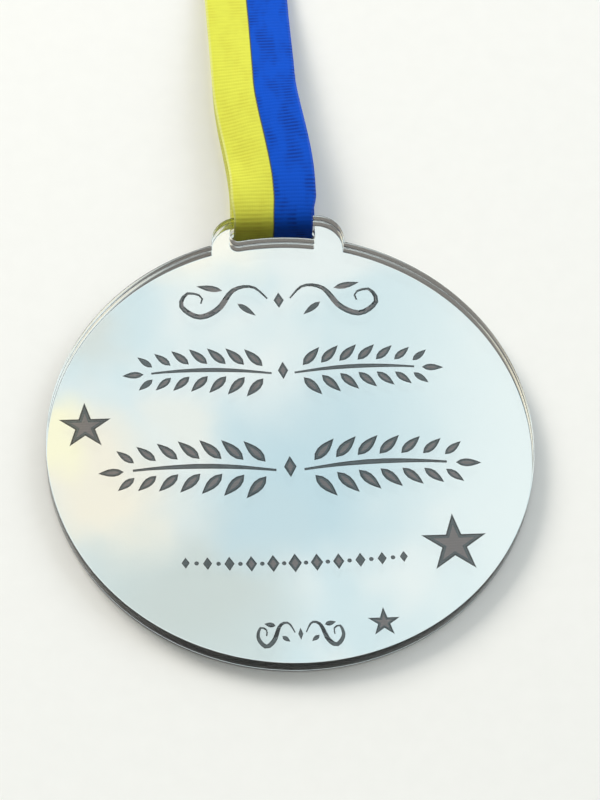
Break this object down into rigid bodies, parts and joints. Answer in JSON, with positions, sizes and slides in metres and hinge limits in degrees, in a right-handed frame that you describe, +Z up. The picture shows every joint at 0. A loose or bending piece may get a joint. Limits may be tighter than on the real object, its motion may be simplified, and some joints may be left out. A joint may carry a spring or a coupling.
{
  "type": "academic medallion",
  "caption": "Round mirrored acrylic medallion with a slotted lug, star and laurel marks, and a two-colour ribbed neck ribbon laid out flat.",
  "frame": {"origin": "middle of the disc's back face", "axes": "+Y towards the lug and the ribbon, +Z up out of the face, which leans half a degree because the lug rests on the ribbon"},
  "size_m": [0.08, 0.4982, 0.0138],
  "materials": {
    "clear_acrylic": "polished clear acrylic",
    "silver_mirror": "silver mirror film under a grey coat",
    "woven_ribbon": "ribbed grosgrain, one half yellow and one half blue"
  },
  "bodies": {
    "root": {"clear_sheet": "clear_acrylic", "mirror_backing": "silver_mirror", "neck_ribbon": "woven_ribbon"}
  },
  "joints": []
}
